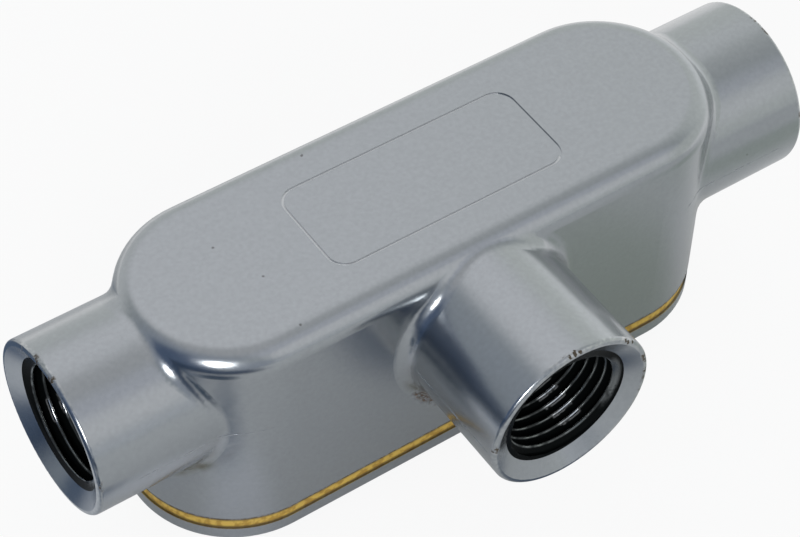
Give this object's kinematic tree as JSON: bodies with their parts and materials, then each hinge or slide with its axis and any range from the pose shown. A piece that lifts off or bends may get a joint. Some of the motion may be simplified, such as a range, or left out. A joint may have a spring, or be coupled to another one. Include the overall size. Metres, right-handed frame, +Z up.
{
  "type": "conduit body",
  "caption": "T-shaped electrical conduit body: a stadium-shaped iron housing with threaded hubs at both ends and on one side, closed by a gasket and a screwed cover.",
  "frame": {"origin": "middle of the cover's raised face, the face that the part rests on, straight under the crossing of the hub axes", "axes": "+X along the through run to the right end hub, -Y along the side hub, +Z up to the closed back"},
  "size_m": [0.1288, 0.056, 0.0448],
  "materials": {
    "grey_lacquer": "glossy silver grey metallic lacquer over an iron casting, with small chips and specks",
    "gasket_rubber": "matt mustard sheet rubber",
    "plated_steel": "dull zinc plate",
    "bare_thread": "black oily cut thread, in the visual model only"
  },
  "bodies": {
    "root": {"housing": "grey_lacquer", "gasket": "gasket_rubber", "cover": "grey_lacquer", "cover_screw_left": "plated_steel", "cover_screw_right": "plated_steel"}
  },
  "joints": []
}
